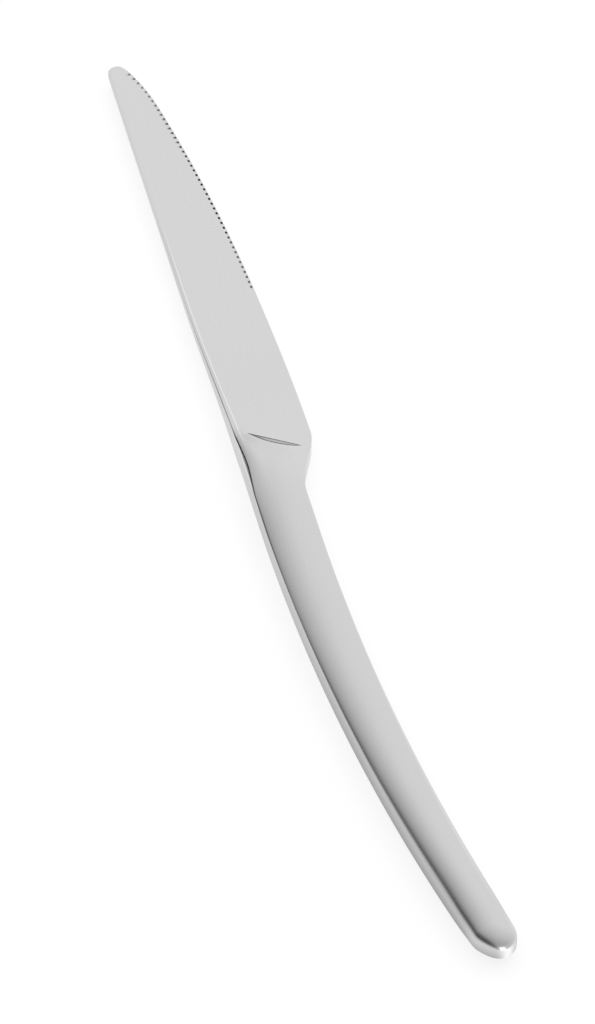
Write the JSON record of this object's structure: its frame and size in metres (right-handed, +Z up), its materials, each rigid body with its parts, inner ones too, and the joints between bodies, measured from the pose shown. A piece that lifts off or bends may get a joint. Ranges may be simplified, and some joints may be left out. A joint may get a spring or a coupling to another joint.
{
  "type": "steak knife",
  "caption": "All-steel steak knife with a finely serrated, drop-edged blade, a slanted bolster step and a slim hollow handle that curves towards the cutting edge.",
  "frame": {"origin": "on the flat land under the handle that the knife lies on, beside the balance point", "axes": "+X along the blade towards the tip, +Y towards the spine, +Z up, out of the pictured face"},
  "size_m": [0.2356, 0.0217, 0.0077],
  "materials": {
    "blade_steel": "fine satin, ground along the blade",
    "handle_steel": "satin, brushed along the handle",
    "braze": "as cast",
    "cement": "matt"
  },
  "bodies": {
    "root": {"blade": "blade_steel", "upper_handle_shell": "handle_steel", "lower_handle_shell": "handle_steel", "seam_braze": "braze", "handle_cement": "cement"}
  },
  "joints": []
}
